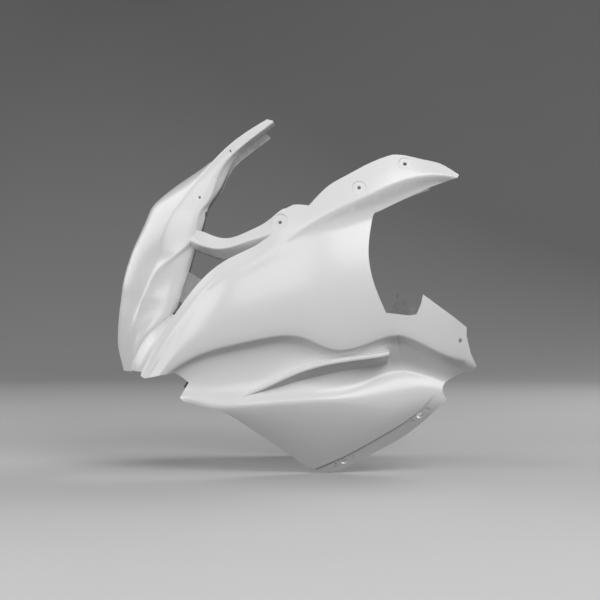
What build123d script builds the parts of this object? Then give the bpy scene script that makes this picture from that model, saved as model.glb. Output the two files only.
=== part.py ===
import math
import os

from build123d import *

os.makedirs("parts", exist_ok=True)

# Laminate, mm
wall = 2.6
joggle = 1.8


# Point of a guide line at distance s along the axis that carries its sections
def along(line, s):
    n = len(line)
    if s <= line[0][0] or s >= line[-1][0]:
        p, q = line[:2] if s <= line[0][0] else line[-2:]
        t = (s - p[0]) / (q[0] - p[0])
        return tuple(p[k] + t * (q[k] - p[k]) for k in (1, 2))
    i = max(j for j in range(n - 1) if line[j][0] <= s)
    h = line[i + 1][0] - line[i][0]
    t = (s - line[i][0]) / h

    def slope(j, k):
        j0 = max(j - 1, 0)
        j1 = min(j + 1, n - 1)
        return (line[j1][k] - line[j0][k]) / (line[j1][0] - line[j0][0])

    out = []
    for k in (1, 2):
        p0, p1 = line[i][k], line[i + 1][k]
        m0, m1 = slope(i, k) * h, slope(i + 1, k) * h
        out.append(
            (2 * t**3 - 3 * t**2 + 1) * p0 + (t**3 - 2 * t**2 + t) * m0
            + (3 * t**2 - 2 * t**3) * p1 + (t**3 - t**2) * m1
        )
    return tuple(out)


def turned(d, degrees):
    a = math.radians(degrees)
    return (d[0] * math.cos(a) - d[1] * math.sin(a), d[0] * math.sin(a) + d[1] * math.cos(a))


# Curve through the guide points, lying depth inside the outer face: a list of Bezier poles
def profile(points, crowns, softness, depth, start=None):
    leave, arrive = [], []
    for i, (c0, c1) in enumerate(crowns):
        chord = (points[i + 1][0] - points[i][0], points[i + 1][1] - points[i][1])
        size = math.hypot(*chord)
        unit = (chord[0] / size, chord[1] / size)
        leave.append(start if start and i == 0 else turned(unit, c0))
        arrive.append(turned(unit, -c1))

    def inset(p, d):
        return (p[0] + depth * d[1], p[1] - depth * d[0])

    ends = [[inset(points[0], leave[0]), None]]
    corners = []
    for i in range(1, len(points) - 1):
        a, d = arrive[i - 1], leave[i]
        before = math.dist(points[i - 1], points[i])
        after = math.dist(points[i], points[i + 1])
        r = min(softness[i - 1], 0.4 * before, 0.4 * after)
        fold = math.acos(max(-1.0, min(1.0, a[0] * d[0] + a[1] * d[1])))
        r = max(r, wall * math.tan(fold / 2) + 0.8)
        s = inset((points[i][0] - r * a[0], points[i][1] - r * a[1]), a)
        e = inset((points[i][0] + r * d[0], points[i][1] + r * d[1]), d)
        k = 1 + a[0] * d[0] + a[1] * d[1]
        g = (
            points[i][0] + depth * (a[1] + d[1]) / k,
            points[i][1] - depth * (a[0] + d[0]) / k,
        )
        corners.append([s, g, e])
        ends[-1][1] = s
        ends.append([e, None])
    ends[-1][1] = inset(points[-1], arrive[-1])

    curves = []
    for i, (p, q) in enumerate(ends):
        third = math.dist(p, q) / 3
        p1 = (p[0] + third * leave[i][0], p[1] + third * leave[i][1])
        q1 = (q[0] - third * arrive[i][0], q[1] - third * arrive[i][1])
        curves.append([p, p1, q1, q])
        if i < len(corners):
            s, g, e = corners[i]
            s1 = (s[0] + 0.6 * (g[0] - s[0]), s[1] + 0.6 * (g[1] - s[1]))
            e1 = (e[0] + 0.6 * (g[0] - e[0]), e[1] + 0.6 * (g[1] - e[1]))
            curves.append([s, s1, e1, e])
    return curves


# Closed laminate section on a plane, from its outer and inner curves
def laminate(plane, outer, inner):
    with BuildLine(plane):
        edges = [Bezier(*poles, mode=Mode.PRIVATE) for poles in outer]
        edges.append(Line(outer[-1][3], inner[-1][3], mode=Mode.PRIVATE))
        edges += [Bezier(*reversed(poles), mode=Mode.PRIVATE) for poles in reversed(inner)]
        edges.append(Line(inner[0][0], outer[0][0], mode=Mode.PRIVATE))
    return Face(Wire(edges))


# Side panel guide lines: x to the rear, half width, height
top_line = [
    (-312, 117, -350), (-250, 135, -265), (-211, 148, -192), (-174, 159, -137), (-137, 169, -92),
    (-89, 179, -55), (-44, 188, -33), (-16, 198, -8), (7, 206, 32), (51, 206, 42), (88, 204, 77),
    (153, 199, 112), (200, 196, 129), (254, 192, 122), (318, 186, 95), (396, 178, 53),
]
crest_line = [
    (-312, 126, -377), (-250, 147, -290), (-227, 156, -254), (-184, 172, -183), (-128, 191, -112),
    (-97, 200, -90), (-21, 213, -50), (17, 219, -22), (71, 224, 6), (115, 225, 32), (160, 224, 48),
    (194, 222, 65), (234, 217, 77), (283, 210, 85), (321, 203, 78), (398, 190, 36),
]
valley_line = [
    (-312, 129, -396), (-250, 150, -308), (-226, 159, -277), (-201, 169, -240), (-156, 187, -169),
    (-97, 206, -113), (-21, 219, -72), (18, 222, -44), (71, 221, -20), (115, 217, -2),
    (165, 210, 13), (217, 203, 33), (272, 196, 56), (319, 189, 60), (395, 176, 19),
]
shoulder_line = [
    (-312, 130, -414), (-250, 151, -327), (-226, 159, -294), (-193, 172, -265), (-142, 196, -235),
    (-75, 217, -215), (-30, 227, -206), (15, 234, -200), (53, 236, -208), (94, 237, -225),
    (151, 236, -216), (205, 234, -201), (268, 234, -225), (305, 230, -239), (352, 222, -261),
    (401, 212, -283),
]
step_line = [
    (-313, 122, -426), (-251, 143, -339), (-194, 163.2, -275), (-144, 181.7, -246), (-77, 199, -228),
    (13, 215, -212), (50, 217, -221), (92, 218, -238), (149, 217, -229), (203, 215, -213),
    (265, 214, -238), (303, 213.3, -254), (350, 207, -276), (399, 196, -299),
]
lip_line = [
    (-315, 112, -446), (-252, 136, -366), (-176, 170, -313), (-141, 188, -319), (-99, 204, -323),
    (-44, 216, -320), (10, 221, -316), (78, 222, -313), (122, 221, -311), (159, 219, -306),
    (213, 216, -296), (270, 211, -295), (297, 207, -303), (348, 197, -320), (397, 185, -337),
]
belly_line = [
    (-317, 100, -472), (-254, 126, -391), (-178, 160, -336), (-143, 176, -343), (-98, 185, -354),
    (-57, 182, -378), (-5, 171, -414), (49, 157, -453), (83, 156, -461), (118, 161, -454),
    (184, 172, -419), (234, 179, -388), (273, 186, -358), (313, 190, -346), (394, 168, -367),
]
side_guides = [top_line, crest_line, valley_line, shoulder_line, step_line, lip_line, belly_line]
side_crowns = [(2, 2), (0, -5), (10, 14), (0, 0), (-26, -36), (10, 6)]


def ramped(x, start, end):
    return max(0.0, min(1.0, (x - start) / (end - start)))


def side_softness(x):
    lip = 8 + 26 * ramped(x, 90, 210)
    shoulder = 3 + 1.8 * ramped(x, 190, 240)
    return [4, 14, shoulder, 4, lip]

side_stations = [-300, -268, -236, -200, -165, -125, -85, -45, -5, 40, 92, 150, 208, 262, 312, 366, 420]


def side_section(x, outside, inside, extra=0):
    plane = Plane(origin=(x, 0, 0), x_dir=(0, -1, 0), z_dir=(-1, 0, 0))
    points = [along(g, x) for g in side_guides]
    softness = [r + extra for r in side_softness(x)]
    outer = profile(points, side_crowns, softness, outside)
    inner = profile(points, side_crowns, softness, inside)
    return laminate(plane, outer, inner)


# Landing for the lower fairing and tail, set in by the joggle
with BuildPart() as landing_block:
    with BuildSketch(Plane.XZ):
        with BuildLine():
            Polyline((196, -105), (184, -139), (206, -201), (218, -255), (273, -307), (251, -334), (218, -359),
                     (168, -389), (119, -417), (60, -444), (31, -478), (376, -470), (383, -105),
                     close=True)
        make_face()
    extrude(amount=400)

with BuildPart() as side_outline:
    with BuildSketch(Plane.XZ):
        with BuildLine():
            Spline((-246, -267), (-211, -203), (-174, -147), (-137, -101), (-89, -64))
            Polyline((-89, -64), (-43, -42), (-14, -22), (-13, 8))
            Spline((-13, 8), (6, 23), (18, 29), (34, 31), (52, 29))
            Spline((52, 29), (70, 49), (89, 66), (117, 82), (154, 102), (200, 120))
            Spline((200, 120), (216, 120), (255, 112), (287, 105), (307, 94), (320, 85))
            Polyline((320, 85), (317, 80), (272, 64), (217, 39), (180, 21), (168, 16), (165, 10))
            Spline((165, 10), (160, -15), (156, -57), (158, -78), (164, -105), (175, -135), (186, -160))
            Polyline((186, -160), (227, -165), (240, -163), (248, -145), (252, -128), (311, -171),
                     (330, -186), (330, -201), (338, -233), (349, -255), (343, -264))
            Spline((343, -264), (316, -272), (300, -282), (291, -293), (291, -301), (298, -314))
            Spline((298, -314), (274, -339), (235, -374), (186, -404), (119, -440))
            Polyline((119, -440), (97, -447), (74, -447), (64, -442), (51, -437))
            Spline((51, -437), (-4, -399), (-55, -364), (-96, -339), (-142, -326), (-170, -319))
            Polyline((-170, -319), (-177, -313), (-161, -286), (-176, -274), (-186, -269), (-206, -272),
                     (-240, -279), (-248, -275), (-246, -267))
        make_face()
    extrude(amount=400)

# Rear strip of the tail, set in once more
with BuildPart() as strip_block:
    with BuildSketch(Plane.XZ):
        with BuildLine():
            Polyline((308, -150), (308, -168), (312, -196), (314.5, -209), (318, -218), (325, -234),
                     (328, -246), (326, -262), (326, -300), (400, -300), (400, -150), close=True)
        make_face()
    extrude(amount=400)

with BuildPart() as strip:
    loft([side_section(x, 2 * joggle, 2 * joggle + wall, 5) for x in side_stations[11:]], clean=False)
    add(strip_block.part, mode=Mode.INTERSECT)
    add(side_outline.part, mode=Mode.INTERSECT)

with BuildPart() as landing:
    loft([side_section(x, joggle, joggle + wall) for x in side_stations], clean=False)
    add(landing_block.part, mode=Mode.INTERSECT)
    add(side_outline.part, mode=Mode.INTERSECT)
    add(strip_block.part, mode=Mode.SUBTRACT)
    add(strip.part)

with BuildPart() as side_panel:
    loft([side_section(x, 0, wall) for x in side_stations], clean=False)
    add(landing_block.part, mode=Mode.SUBTRACT)
    add(side_outline.part, mode=Mode.INTERSECT)
    add(landing.part)

# Nose guide lines: height, x, half width
centre_line = [
    (-324, -277, 0), (-278, -284, 0), (-255, -290, 0), (-224, -297, 0), (-173, -295, 0), (-114, -288, 0),
    (-83, -281, 0), (-47, -269, 0), (-14, -254, 0), (15, -242, 0), (37, -230, 0), (53, -214, 0),
    (72, -190, 0), (96, -154, 0), (114, -123, 0), (145, -65, 0), (189, 15, 0), (228, 86, 0),
]
seam_line = [
    (-324, -278, 14), (-278, -282, 24), (-255, -283, 30), (-214, -276, 41), (-173, -264, 52),
    (-126, -245, 66), (-93, -230, 76), (-66, -219, 83), (-19, -208, 93), (9, -197, 98), (40, -178, 104),
    (77, -148, 111), (109, -122, 118), (140, -91, 127), (162, -63, 135), (190, -16, 146), (229, 50, 160),
]
brow_line = [
    (-324, -269, 26), (-278, -276, 36), (-255, -277, 42), (-227, -273, 51), (-194, -266, 62),
    (-138, -246, 79), (-100, -230, 91), (-79, -216, 99), (-68, -202, 105), (-52, -179, 115),
    (-38, -163, 121), (-11, -149, 127), (20, -141, 128), (41, -128, 129), (71, -112, 130),
    (97, -104, 131), (121, -85, 136), (146, -54, 144), (190, 3, 156), (229, 69, 168),
]
wall_line = [
    (-323, -258, 46), (-278, -264, 58), (-255, -264, 65), (-209, -241, 82), (-186, -216, 92),
    (-169, -195, 98), (-139, -181, 101), (-86, -162, 105), (-47, -150, 111), (-11, -138, 114),
    (20, -130, 116), (71, -100, 117), (121, -74, 122), (189, 14, 142), (228, 80, 154),
]
nose_guides = [centre_line, seam_line, brow_line, wall_line]
nose_crowns = [(0, 10), (3, 3), (-4, 48)]
nose_softness = [4, 5]
nose_stations = [
    -320, -295, -268, -240, -205, -165, -120, -85, -62, -40, -10, 25, 60, 95, 130, 165, 195, 230
]


def nose_section(z):
    plane = Plane(origin=(0, 0, z), x_dir=(1, 0, 0), z_dir=(0, 0, -1))
    points = [along(g, z) for g in nose_guides]
    rake = (along(seam_line, z + 5)[0] - along(seam_line, z - 5)[0]) / 10
    depth = wall * math.hypot(1, rake)
    outer = profile(points, nose_crowns, nose_softness, 0, start=(0, 1))
    inner = profile(points, nose_crowns, nose_softness, depth, start=(0, 1))
    return laminate(plane, outer, inner)


screen_rim = 4.5
screen_sill = 112
with BuildPart() as nose:
    loft([nose_section(z) for z in nose_stations], clean=False)
    with BuildSketch(Plane.YZ):
        with BuildLine():
            sides = [(screen_rim - along(seam_line, z)[1], z) for z in (screen_sill, 139, 162, 245)]
            Polyline((20, screen_sill + 4), (-60, screen_sill + 3), *sides, (20, 245), close=True)
        make_face()
    extrude(amount=300, both=True, mode=Mode.SUBTRACT)
    with BuildSketch(Plane.XZ):
        with BuildLine():
            Polyline((-345, -271), (-132, -271), (-132, 20), (26, 120), (-10, 184), (-33, 191), (-345, 191),
                     close=True)
        make_face()
    extrude(amount=300, both=True, mode=Mode.INTERSECT)

# Arm guide lines, nose to side panel: x, half width, height
arm_top_line = [
    (-193, 90, 0), (-164, 113, -6), (-149, 122, -11), (-123, 136, -20), (-101, 147, -27), (-86, 155, -26),
    (-57, 172, -17), (-30, 188, -3), (-8, 199, 12), (17, 202, 27), (38, 202, 38),
]
arm_fold_line = [
    (-192, 94, -18), (-167, 115, -28), (-148, 133, -37), (-123, 152, -45), (-107, 163, -47),
    (-96, 169, -45), (-64, 186, -36), (-19, 205, -22), (18, 212, -12), (40, 213, -4),
]
arm_under_line = [
    (-194, 84, -36), (-166, 104, -42), (-148, 114, -47), (-118, 131, -57), (-89, 150, -63),
    (-42, 180, -47), (-10, 195, -34), (17, 206, -26), (39, 207, -18),
]
arm_guides = [arm_top_line, arm_fold_line, arm_under_line]
arm_stations = [-161, -146, -124, -97, -69, -41, -12, 12]


def arm_section(x):
    plane = Plane(origin=(x, 0, 0), x_dir=(0, -1, 0), z_dir=(-1, 0, 0))
    points = [along(g, x) for g in arm_guides]
    outer = profile(points, [(3, 3), (2, 2)], [2.5], 0)
    inner = profile(points, [(3, 3), (2, 2)], [2.5], wall)
    return laminate(plane, outer, inner)


with BuildPart() as arm:
    loft([arm_section(x) for x in arm_stations], clean=False)

# Ramp from the nose side wall out to the leading edge: height, x, half width
ramp_in_line = [
    (-293, -271.5, 54), (-267, -269.5, 61), (-248, -264.5, 66), (-207, -241.5, 82),
    (-186, -219.5, 91), (-169, -197.5, 96), (-151, -188.5, 98),
]
ramp_out_line = [
    (-293, -257, 135), (-267, -243, 142), (-228, -224, 148), (-203, -208, 154), (-169, -187, 161),
    (-151, -174, 165),
]
web_in_line = [(-151, -185, 97), (-139, -181, 99), (-113, -172, 101), (-86, -163, 103), (-70, -158, 105)]
web_out_line = [
    (-151, -172, 163), (-139, -164, 166), (-112, -143, 172), (-86, -118, 179), (-70, -99, 183),
]
ramp_stations = [-280, -255, -230, -205, -182, -160]
web_stations = [-143, -125, -105, -88]


def bridge_section(z, near, far, crown):
    plane = Plane(origin=(0, 0, z), x_dir=(1, 0, 0), z_dir=(0, 0, -1))
    points = [along(near, z), along(far, z)]
    outer = profile(points, [(crown, crown)], [], 0)
    inner = profile(points, [(crown, crown)], [], wall)
    return laminate(plane, outer, inner)


with BuildPart() as ramp:
    loft([bridge_section(z, ramp_in_line, ramp_out_line, -10) for z in ramp_stations], clean=False)
    with BuildSketch(Plane.XZ):
        with Locations((-200, -217)):
            Rectangle(300, 104)
    extrude(amount=300, mode=Mode.INTERSECT)

with BuildPart() as web:
    loft([bridge_section(z, web_in_line, web_out_line, -6) for z in web_stations], clean=False)
    with BuildSketch(Plane.XZ):
        with BuildLine():
            Polyline((-230, -170), (-230, -46), (-110, -118), (-110, -170), close=True)
        make_face()
    extrude(amount=300, mode=Mode.INTERSECT)

# Fin in the scoop: x, half width, height of the crest
fin_line = [(-71, 196, -309), (-34, 210, -293), (-7, 220, -280), (30, 230, -263), (70, 236, -250),
            (97, 238, -244), (141, 239, -238), (191, 239, -230), (227, 239, -225)]
fin_stations = [-66, -35, -5, 30, 70, 110, 150, 192]
fin_edge = 5
fin_wall = 2.4


def fin_section(x, inset, reach):
    plane = Plane(origin=(x, 0, 0), x_dir=(0, -1, 0), z_dir=(-1, 0, 0))
    scoop = profile([along(g, x) for g in side_guides], side_crowns, side_softness(x), 0.6 * wall)[8]
    root = (scoop[0][0] + 3 * scoop[1][0] + 3 * scoop[2][0] + scoop[3][0]) / 8
    h, z = along(fin_line, x)
    h = max(h, root + 2.4 * fin_edge)
    span = h - root
    drop = 0.25 * (z - scoop[3][1]) + 10
    r = fin_edge
    tilt = math.atan2(drop - r, span)
    left = 1.3 * inset * math.sin(tilt)
    up = 1.3 * inset * math.cos(tilt)
    top = z + r - 1.1 * inset
    tip = h - 0.6 * r - 1.5 * left
    under = (h - 0.2 * r - 1.5 * left, z - r + up)
    foot = z - drop + up - reach * math.tan(tilt)
    with BuildLine(plane):
        edges = [
            Bezier((root - reach, top), (root + 0.4 * span, top - 0.2 * r),
                   (tip - 0.6 * r, top - 0.55 * r), (tip, top - 0.7 * r), mode=Mode.PRIVATE),
            Bezier((tip, top - 0.7 * r), (tip + 0.6 * r, top - 0.85 * r),
                   (under[0] + 0.2 * r, under[1] + 0.5 * r), under, mode=Mode.PRIVATE),
            Bezier(under, (h - 0.35 * span - left, z - 0.35 * drop + up),
                   (root + 0.3 * span - left, z - 0.6 * drop + up), (root - reach, foot), mode=Mode.PRIVATE),
            Line((root - reach, foot), (root - reach, top), mode=Mode.PRIVATE),
        ]
    return Face(Wire(edges))


with BuildPart() as fin:
    loft([fin_section(x, 0, 0) for x in fin_stations], clean=False)

hollow_stations = [s for s in fin_stations if 30 <= s < fin_stations[-1]] + [fin_stations[-1] - fin_wall]
with BuildPart() as fin_hollow:
    loft([fin_section(x, fin_wall, 3 * fin_wall) for x in hollow_stations], clean=False)

# Quarter-turn fasteners of the lower fairing, seen along their common axis
stud_tilt = 26
stud_yaw = 6.75
stud_hole_r = 6
stud_front = (117.2, -173.3, -426.6)
stud_rear = (250.1, -195.6, -342.8)
rivet_spacing = 34.9
rivet_r = 1.6
rivet_head_r = 3.3
rivet_clear = 0.1
pad_length = rivet_spacing + 18
pad_width = 20
pad_depth = 5.2
pad_margin = 0.4
plate_thick = 1.2
spring_r = 1.1
spring_bow = 4.5
stud_axis = Vector(0, -1, 0).rotate(Axis.X, stud_tilt).rotate(Axis.Z, stud_yaw)


def stud_plane(origin, rise):
    a = math.radians(rise)
    return Plane(origin=origin, x_dir=(math.cos(a), 0, math.sin(a)), z_dir=stud_axis)


stud_planes = {"front": stud_plane(stud_front, 28), "rear": stud_plane(stud_rear, 45)}
rivet_seats = {"front": (-1.8, 0.6), "rear": (0.5, -0.9)}
rivet_ends = (-rivet_spacing / 2, rivet_spacing / 2)
bottom = (Align.CENTER, Align.CENTER, Align.MIN)
top = (Align.CENTER, Align.CENTER, Align.MAX)


# Pads that thicken the flange behind each receptacle
def pad_section(x):
    plane = Plane(origin=(x, 0, 0), x_dir=(0, -1, 0), z_dir=(-1, 0, 0))
    skin = profile([along(g, x) for g in side_guides], side_crowns, side_softness(x), joggle + 0.5 * wall)[-1]
    (h0, z0), (h1, z1) = skin[0], skin[-1]
    behind = 4 * pad_depth
    with BuildLine(plane):
        edges = [
            Bezier(*skin, mode=Mode.PRIVATE),
            Line((h1, z1), (h1 - behind, z1), mode=Mode.PRIVATE),
            Line((h1 - behind, z1), (h0 - behind, z0), mode=Mode.PRIVATE),
            Line((h0 - behind, z0), (h0, z0), mode=Mode.PRIVATE),
        ]
    return Face(Wire(edges))


with BuildPart() as pads:
    loft([pad_section(x) for x in side_stations[9:16]], clean=False)
    with BuildSketch(*[p.offset(-pad_depth) for p in stud_planes.values()]):
        RectangleRounded(pad_length, pad_width, 6)
    extrude(amount=pad_depth + 8, mode=Mode.INTERSECT)
    with Locations((pad_margin, 0, -pad_margin)):
        add(landing_block.part, mode=Mode.INTERSECT)

# Screws: wing stay, dash stay, windscreen and tail
screw_r = 3.3
screen_screw_r = 2.6
wing_front = Vector(140.2, -218.1, 61.2)
wing_rear = Vector(222.5, -207.1, 104.1)
wing_normal = (-0.0586, -0.9342, 0.3518)
screen_low = Vector(-142.1, -120.6, 47.5)
screen_high = Vector(-86.7, -132.6, 130.5)
screen_normal = (-0.4565, -0.8716, 0.1787)
stay_plane = Plane(origin=(0.2, -209.7, 0), z_dir=(-0.299, -0.925, 0.236))
tail_plane = Plane(origin=(318.8, -229.1, -209.3), x_dir=(1, 0, 0), z_dir=(0.18, -0.98, 0))
dish_depth = 1.5
dish_draft = 1.2
dish_rise = 6
stay_dish_r = 15.5
wing_dish_r = 12.3


def seat_plane(place, direction):
    # where a screw's axis meets the outside of the moulding
    start = place + direction * 40
    axis = Axis(start, direction * -1)
    hits = side_panel.part.find_intersection_points(axis) + arm.part.find_intersection_points(axis)
    point, normal = min(hits, key=lambda hit: (hit[0] - start).length)
    return Plane(origin=point, z_dir=normal)


dishes = [
    (seat_plane(stay_plane.origin, stay_plane.z_dir), stay_dish_r),
    (seat_plane(wing_front, Vector(wing_normal)), wing_dish_r),
    (seat_plane(wing_rear, Vector(wing_normal)), wing_dish_r),
]

# Each dish keeps a full wall behind its floor
with BuildPart() as dish_backs:
    for plane, radius in dishes:
        with Locations(plane.offset(-dish_depth)):
            Cylinder(radius, wall, align=top)

with BuildPart() as drillings:
    for plane, radius in dishes:
        with Locations(plane.offset(-dish_depth)):
            Cone(radius - dish_draft, radius - dish_draft + dish_rise, dish_rise, align=bottom)
    with Locations(stay_plane):
        Cylinder(screw_r, 24)
    with Locations(*[Plane(origin=p, z_dir=wing_normal) for p in (wing_front, wing_rear)]):
        Cylinder(screw_r, 24)
    with Locations(*[Plane(origin=p, z_dir=screen_normal) for p in (screen_low, screen_high)]):
        Cylinder(screen_screw_r, 24)
    with BuildSketch(tail_plane):
        SlotOverall(7.6, 5.4, rotation=80)
    extrude(amount=10, both=True)
    for place, plane in stud_planes.items():
        with Locations(plane):
            Cylinder(stud_hole_r, 30)
            with Locations((rivet_ends[0], 0, 0), (rivet_ends[1], 0, 0)):
                Cylinder(rivet_r + rivet_clear, 30)
            for end, seat in zip(rivet_ends, rivet_seats[place]):
                with Locations((end, 0, seat)):
                    Cylinder(rivet_head_r + 0.4, 8, align=bottom)

with BuildPart() as half:
    add(side_panel.part)
    add(fin.part)
    add(fin_hollow.part, mode=Mode.SUBTRACT)
    add(arm.part)
    add(nose.part)
    add(ramp.part)
    add(web.part)
    add(pads.part)
    add(dish_backs.part)
    add(drillings.part, mode=Mode.SUBTRACT)

with BuildPart() as shell:
    add(half.part)
    mirror(about=Plane.XZ)


def receptacle(plane):
    back = plane.offset(-pad_depth)
    with BuildPart() as plate:
        with BuildSketch(back):
            SlotOverall(rivet_spacing + 14, 14)
            Circle(10.5)
            Circle(stud_hole_r + 0.5, mode=Mode.SUBTRACT)
            with Locations((rivet_ends[0], 0), (rivet_ends[1], 0)):
                Circle(rivet_r + rivet_clear, mode=Mode.SUBTRACT)
        extrude(amount=-plate_thick)
        with Locations(back.offset(-plate_thick)):
            with Locations((-10, 0, 0), (10, 0, 0)):
                Box(3, 2 * spring_r + 3, 2 * spring_r + 1.4, align=top)
                Box(3, 2 * spring_r + 0.4, 2 * spring_r + 0.2, align=top, mode=Mode.SUBTRACT)
    return plate.part


def spring(plane):
    core = plane.offset(-pad_depth - plate_thick - spring_r)
    side = Plane(origin=core.origin, x_dir=core.x_dir, z_dir=-core.y_dir)
    with BuildPart() as wire:
        with BuildLine(side):
            FilletPolyline((-13, 0), (-7.5, 0), (-4, -spring_bow), (4, -spring_bow), (7.5, 0), (13, 0),
                           radius=2.5)
        with BuildSketch(Plane(origin=core.from_local_coords((-13, 0, 0)), z_dir=core.x_dir)):
            Circle(spring_r)
        sweep()
    return wire.part


def rivet(plane, end, seat):
    back = -pad_depth - plate_thick
    with BuildPart() as pin:
        with Locations(plane):
            with Locations((end, 0, back)):
                Cylinder(rivet_r, seat - back, align=bottom)
                Cylinder(1.6 * rivet_r, 1.8, align=top)
            with Locations((end, 0, seat)):
                Cylinder(rivet_head_r, 0.5, align=bottom)
            with Locations((end, 0, seat + 0.5)):
                Cone(rivet_head_r, 0.6 * rivet_head_r, 0.9, align=bottom)
            with Locations((end, 0, seat + 0.6)):
                Cylinder(0.9, 2, align=bottom, mode=Mode.SUBTRACT)
    return pin.part


# The part's frame has its origin in the middle of the box, not at the dash stay
datum = (-26, 0, 130)


def finished(part, name):
    with BuildPart() as node:
        with Locations(datum):
            add(part)
    node.part.label = name
    export_step(node.part, "parts/" + name + ".step")


finished(shell.part, "fairing_shell")
for place, plane in stud_planes.items():
    seats = rivet_seats[place]
    pieces = {
        "receptacle_" + place: receptacle(plane),
        "spring_" + place: spring(plane),
        "rivet_" + place + "_fore": rivet(plane, rivet_ends[0], seats[0]),
        "rivet_" + place + "_aft": rivet(plane, rivet_ends[1], seats[1]),
    }
    for name, piece in pieces.items():
        finished(piece, name + "_left")
        finished(mirror(piece, about=Plane.XZ), name + "_right")
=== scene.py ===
import math

import bmesh
import bpy
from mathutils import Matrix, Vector


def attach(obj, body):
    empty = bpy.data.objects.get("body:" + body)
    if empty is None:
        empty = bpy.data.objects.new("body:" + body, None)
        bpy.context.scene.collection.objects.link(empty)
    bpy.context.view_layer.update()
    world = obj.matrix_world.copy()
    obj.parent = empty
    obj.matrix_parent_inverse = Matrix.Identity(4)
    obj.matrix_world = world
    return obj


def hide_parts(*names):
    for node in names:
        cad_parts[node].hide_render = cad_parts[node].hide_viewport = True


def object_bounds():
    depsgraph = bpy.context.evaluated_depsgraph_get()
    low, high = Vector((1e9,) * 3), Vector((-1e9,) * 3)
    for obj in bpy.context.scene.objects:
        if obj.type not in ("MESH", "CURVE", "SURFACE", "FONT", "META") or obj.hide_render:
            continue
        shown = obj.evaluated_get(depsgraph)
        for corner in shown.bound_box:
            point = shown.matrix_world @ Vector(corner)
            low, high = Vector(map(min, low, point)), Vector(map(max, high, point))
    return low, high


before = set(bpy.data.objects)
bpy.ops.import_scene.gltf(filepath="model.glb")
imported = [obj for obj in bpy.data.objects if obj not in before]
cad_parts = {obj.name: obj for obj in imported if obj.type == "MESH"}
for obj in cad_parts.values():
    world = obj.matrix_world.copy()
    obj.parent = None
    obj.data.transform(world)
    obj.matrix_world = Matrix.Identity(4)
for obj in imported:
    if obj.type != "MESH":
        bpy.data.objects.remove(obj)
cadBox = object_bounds()
print("frame loaded:", len(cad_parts), "nodes")


# Shader helpers
def newMaterial(name):
    mat = bpy.data.materials.new(name)
    mat.use_nodes = True
    mat.node_tree.nodes.clear()
    return mat, mat.node_tree


def addNode(tree, kind, **sockets):
    node = tree.nodes.new(kind)
    for key, value in sockets.items():
        node.inputs[key.replace("_", " ")].default_value = value
    return node


def noiseBump(tree, coords, layers):
    # layers: (scale, detail, strength, distance in metres), stacked into one normal
    last = None
    for scale, detail, strength, distance in layers:
        noise = addNode(tree, "ShaderNodeTexNoise", Scale=scale, Detail=detail)
        tree.links.new(coords.outputs["Object"], noise.inputs["Vector"])
        bump = addNode(tree, "ShaderNodeBump", Strength=strength, Distance=distance)
        tree.links.new(noise.outputs["Fac"], bump.inputs["Height"])
        if last:
            tree.links.new(last.outputs["Normal"], bump.inputs["Normal"])
        last = bump
    return last


def noiseTint(tree, coords, look):
    # look["tint"]: noise scale, detail, and where the dark colour ends and the light one begins
    scale, detail, ends = look["tint"]
    noise = addNode(tree, "ShaderNodeTexNoise", Scale=scale, Detail=detail)
    tree.links.new(coords.outputs["Object"], noise.inputs["Vector"])
    ramp = addNode(tree, "ShaderNodeValToRGB")
    for element, end, colour in zip(ramp.color_ramp.elements, ends, (look["dark"], look["light"])):
        element.position = end
        element.color = colour
    tree.links.new(noise.outputs["Fac"], ramp.inputs["Fac"])
    return ramp


def makeFinish(name, look, **shading):
    mat, tree = newMaterial(name)
    coords = addNode(tree, "ShaderNodeTexCoord")
    tint = noiseTint(tree, coords, look)
    relief = noiseBump(tree, coords, look["relief"])
    shader = addNode(tree, "ShaderNodeBsdfPrincipled", Roughness=look["roughness"], **shading)
    out = addNode(tree, "ShaderNodeOutputMaterial")
    tree.links.new(tint.outputs["Color"], shader.inputs["Base Color"])
    tree.links.new(relief.outputs["Normal"], shader.inputs["Normal"])
    tree.links.new(shader.outputs["BSDF"], out.inputs["Surface"])
    return mat


gelcoat = {
    "light": (0.80, 0.80, 0.80, 1),
    "dark": (0.785, 0.786, 0.784, 1),
    "tint": (3, 1, (0.2, 0.8)),
    "relief": ((260, 1, 0.02, 0.0004),),   # faint orange peel
    "roughness": 0.29,
    "coat": 0.2,
    "coatRoughness": 0.14,
}
whiteGelcoat = makeFinish("white_gelcoat", gelcoat,
                          Coat_Weight=gelcoat["coat"], Coat_Roughness=gelcoat["coatRoughness"])

laminateWithPaintedShade = {
    # bare laminate grey, darkened further as painted shade for the inner faces, which sit in shadow
    "light": (0.36, 0.365, 0.36, 1),
    "dark": (0.25, 0.255, 0.25, 1),
    "tint": (60, 8, (0.3, 0.65)),
    "relief": ((420, 4, 0.5, 0.0008), (90, 3, 0.35, 0.0015)),   # strands, then their clumps
    "roughness": 0.62,
}
insideLaminateWithPaintedShade = makeFinish("chopped_strand_laminate_painted_shade", laminateWithPaintedShade)

metalGrain = {"tint": (240, 4, (0.35, 0.65)), "relief": ((1400, 2, 0.15, 0.0002),)}
hardware = {
    "zinc_plate": {"dark": (0.55, 0.55, 0.53, 1), "light": (0.68, 0.68, 0.66, 1), "roughness": 0.36},
    "spring_steel": {"dark": (0.30, 0.30, 0.31, 1), "light": (0.42, 0.42, 0.43, 1), "roughness": 0.30},
    "rivet_alloy": {"dark": (0.62, 0.62, 0.63, 1), "light": (0.74, 0.74, 0.75, 1), "roughness": 0.28},
}
metals = {name: makeFinish(name, {**metalGrain, **look}, Metallic=1.0) for name, look in hardware.items()}
print("materials made")

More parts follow.
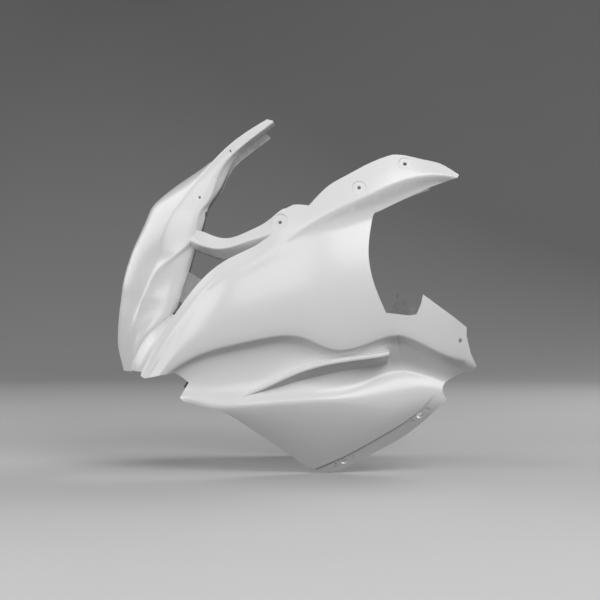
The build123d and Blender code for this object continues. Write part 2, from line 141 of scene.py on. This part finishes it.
shellLook = {
    "weld": 0.00002,       # joins the edges of neighbouring faces
    "sliver": 0.000005,    # edges shorter than this are dissolved
    "sharp": 32,           # degrees, edges sharper than this stay crisp
    "web": ((-0.205, -0.135), (0.125, 0.170), (-0.010, 0.040)),   # x, half width and z of the webs' middles
    "noseEnd": -0.12,      # x, the nose lies ahead of this
    "sideways": 0.12,      # how far a patch leans before its side, its front or its underside decides
    "lengthways": 0.3,
    "downward": -0.5,
}


def facesInwardOrPaintedShade(centre, normal):
    # the webs between nose and side panel take the darker laminate on both sides: painted shade on their
    # outer faces, which sit in shadow
    place = (centre.x, abs(centre.y), centre.z)
    if all(low < value < high for value, (low, high) in zip(place, shellLook["web"])):
        return True
    # the side panels face away from the bike's centre plane, the nose faces forward
    if abs(normal.y) > shellLook["sideways"]:
        return normal.y * centre.y < 0
    onNose = centre.x < shellLook["noseEnd"]
    if abs(normal.x) > shellLook["lengthways"] and onNose:
        return normal.x > 0
    return normal.z < shellLook["downward"] and onNose


def patches(work):
    # the moulding's faces arrive unjoined, so each run of linked triangles is one face
    work.faces.ensure_lookup_table()
    seen = [False] * len(work.faces)
    for first in work.faces:
        if seen[first.index]:
            continue
        seen[first.index] = True
        patch = [first]
        for face in patch:
            for edge in face.edges:
                for other in edge.link_faces:
                    if not seen[other.index]:
                        seen[other.index] = True
                        patch.append(other)
        yield patch


def dressShell(node):
    mesh = node.data.copy()
    mesh.name = "fairing_skin"
    skin = bpy.data.objects.new("fairing_skin", mesh)
    bpy.context.scene.collection.objects.link(skin)
    mesh.materials.clear()
    mesh.materials.append(whiteGelcoat)
    mesh.materials.append(insideLaminateWithPaintedShade)
    work = bmesh.new()
    work.from_mesh(mesh)
    work.normal_update()
    for patch in patches(work):
        area = sum(face.calc_area() for face in patch) or 1e-12
        centre = sum((face.calc_center_median() * face.calc_area() for face in patch), Vector()) / area
        normal = sum((face.normal * face.calc_area() for face in patch), Vector()) / area
        # inner faces get the darker laminate, and so do the webs, where it is painted shade on their outer
        # faces
        insideOrPaintedShade = facesInwardOrPaintedShade(centre, normal)
        for face in patch:
            face.smooth = True
            face.material_index = 1 if insideOrPaintedShade else 0
    bmesh.ops.remove_doubles(work, verts=work.verts, dist=shellLook["weld"])
    bmesh.ops.dissolve_degenerate(work, edges=work.edges, dist=shellLook["sliver"])
    work.normal_update()
    limit = math.radians(shellLook["sharp"])
    for edge in work.edges:
        edge.smooth = len(edge.link_faces) == 2 and edge.calc_face_angle(0) < limit
    work.to_mesh(mesh)
    work.free()
    if mesh.has_custom_normals:
        mesh.normals_split_custom_set([(0, 0, 0)] * len(mesh.loops))
    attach(skin, "root")
    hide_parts("fairing_shell")
    return skin


skin = dressShell(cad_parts["fairing_shell"])
print("shell dressed:", len(skin.data.polygons), "faces")

metalOf = {"receptacle": "zinc_plate", "spring": "spring_steel", "rivet": "rivet_alloy"}
for name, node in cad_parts.items():
    kind = name.split("_")[0]
    if kind in metalOf:
        node.data.materials.clear()
        node.data.materials.append(metals[metalOf[kind]])
print("hardware dressed")

stageLook = {
    "light": (0.48, 0.48, 0.48, 1),
    "dark": (0.4656, 0.4656, 0.4656, 1),
    "tint": (1.5, 3, (0.3, 0.7)),
    "roughness": 0.8,
    "bounce": (0.06, 0.06, 0.06, 1),   # how the floor lights the part
    "drop": 0.002,         # floor this far below the lowest point
    "hub": 0.2,            # radius of the face in the middle
    "flat": 3.0,           # radius of the level floor, metres
    "bend": 1.6,           # radius of its turn into the wall
    "bendSteps": 12,
    "height": 6.0,
    "turns": 72,
    "world": (0.80, 0.82, 0.85, 1),
    "worldStrength": 0.16,
}


def makeFloorFinish():
    mat, tree = newMaterial("pale_floor")
    coords = addNode(tree, "ShaderNodeTexCoord")
    tint = noiseTint(tree, coords, stageLook)
    shader = addNode(tree, "ShaderNodeBsdfPrincipled", Roughness=stageLook["roughness"])
    out = addNode(tree, "ShaderNodeOutputMaterial")
    # pale where it is seen or mirrored, darker where it lights the part
    path = addNode(tree, "ShaderNodeLightPath")
    seen = addNode(tree, "ShaderNodeMath")
    tree.links.new(path.outputs["Is Camera Ray"], seen.inputs[0])
    tree.links.new(path.outputs["Is Glossy Ray"], seen.inputs[1])
    through = addNode(tree, "ShaderNodeMath")
    through.use_clamp = True
    tree.links.new(seen.outputs["Value"], through.inputs[0])
    tree.links.new(path.outputs["Is Transmission Ray"], through.inputs[1])
    mix = addNode(tree, "ShaderNodeMix")
    mix.data_type = "RGBA"
    colourA, colourB = [socket for socket in mix.inputs if socket.type == "RGBA"]
    colourA.default_value = stageLook["bounce"]
    tree.links.new(through.outputs["Value"], mix.inputs["Factor"])
    tree.links.new(tint.outputs["Color"], colourB)
    mixed = next(socket for socket in mix.outputs if socket.type == "RGBA")
    tree.links.new(mixed, shader.inputs["Base Color"])
    tree.links.new(shader.outputs["BSDF"], out.inputs["Surface"])
    return mat


def makeStage():
    # a round floor that bends up into a wall, so that every side has the same background
    level = cadBox[0][2] - stageLook["drop"]
    flat, bend = stageLook["flat"], stageLook["bend"]
    profile = [(stageLook["hub"], level), (flat, level)]
    for step in range(1, stageLook["bendSteps"] + 1):
        turn = math.pi / 2 * step / stageLook["bendSteps"]
        profile.append((flat + bend * math.sin(turn), level + bend * (1 - math.cos(turn))))
    profile.append((flat + bend, level + stageLook["height"]))
    turns = stageLook["turns"]
    angles = [2 * math.pi * k / turns for k in range(turns)]
    work = bmesh.new()
    rows = []
    for radius, z in profile:
        rows.append([work.verts.new((radius * math.cos(a), radius * math.sin(a), z)) for a in angles])
    work.faces.new(rows[0])
    for near, far in zip(rows, rows[1:]):
        for k in range(turns):
            after = (k + 1) % turns
            face = work.faces.new((near[k], far[k], far[after], near[after]))
            face.smooth = True
    mesh = bpy.data.meshes.new("studio_sweep")
    work.to_mesh(mesh)
    work.free()
    mesh.materials.append(makeFloorFinish())
    sweep = bpy.data.objects.new("studio_sweep", mesh)
    bpy.context.scene.collection.objects.link(sweep)


def addAimed(name, data, look):
    # lamps and camera look down their own -Z
    thing = bpy.data.objects.new(name, data)
    thing.location = look["place"]
    aim = Vector(look["aim"]) - Vector(look["place"])
    thing.rotation_euler = aim.to_track_quat("-Z", "Y").to_euler()
    bpy.context.scene.collection.objects.link(thing)
    return thing


lamps = {
    "key": {"place": (0.95, -2.0, 1.5), "aim": (0, 0, 0), "size": (1.8, 1.3), "watts": 39},
    "overhead": {"place": (0.1, 0.1, 2.4), "aim": (0, 0, 0), "size": (2.2, 1.2), "watts": 5},
    "fill": {"place": (-0.7, -2.1, 0.8), "aim": (0, 0, 0), "size": (1.3, 0.8), "watts": 10},
    "side": {"place": (-2.2, -1.2, 0.6), "aim": (-0.2, 0, 0), "size": (1.2, 1.2), "watts": 18},
    "rearLeft": {"place": (1.8, 1.7, 1.8), "aim": (0, 0, 0), "size": (2.0, 2.0), "watts": 46},
    "rearRight": {"place": (-2.5, 1.4, 1.3), "aim": (0, 0, 0), "size": (2.2, 2.2), "watts": 33},
}


def addLamps():
    for name, lamp in lamps.items():
        data = bpy.data.lights.new(name, "AREA")
        data.shape = "RECTANGLE"
        data.size, data.size_y = lamp["size"]
        data.energy = lamp["watts"]
        addAimed(name, data, lamp)
    world = bpy.data.worlds.new("studio")
    bpy.context.scene.world = world
    world.use_nodes = True
    background = world.node_tree.nodes["Background"]
    background.inputs["Color"].default_value = stageLook["world"]
    background.inputs["Strength"].default_value = stageLook["worldStrength"]


cameraLook = {
    "place": (-0.1301, -3.2997, 0.0192),
    "aim": (0.0197, 0.0, -0.0097),
    "lens": 105.0,
    "sensor": 36.0,
}


def addCamera():
    data = bpy.data.cameras.new("photo_camera")
    data.lens = cameraLook["lens"]
    data.sensor_width = cameraLook["sensor"]
    bpy.context.scene.camera = addAimed("photo_camera", data, cameraLook)


makeStage()
addLamps()
addCamera()
bpy.context.scene.view_settings.view_transform = "Standard"
print("stage, lamps and camera set")
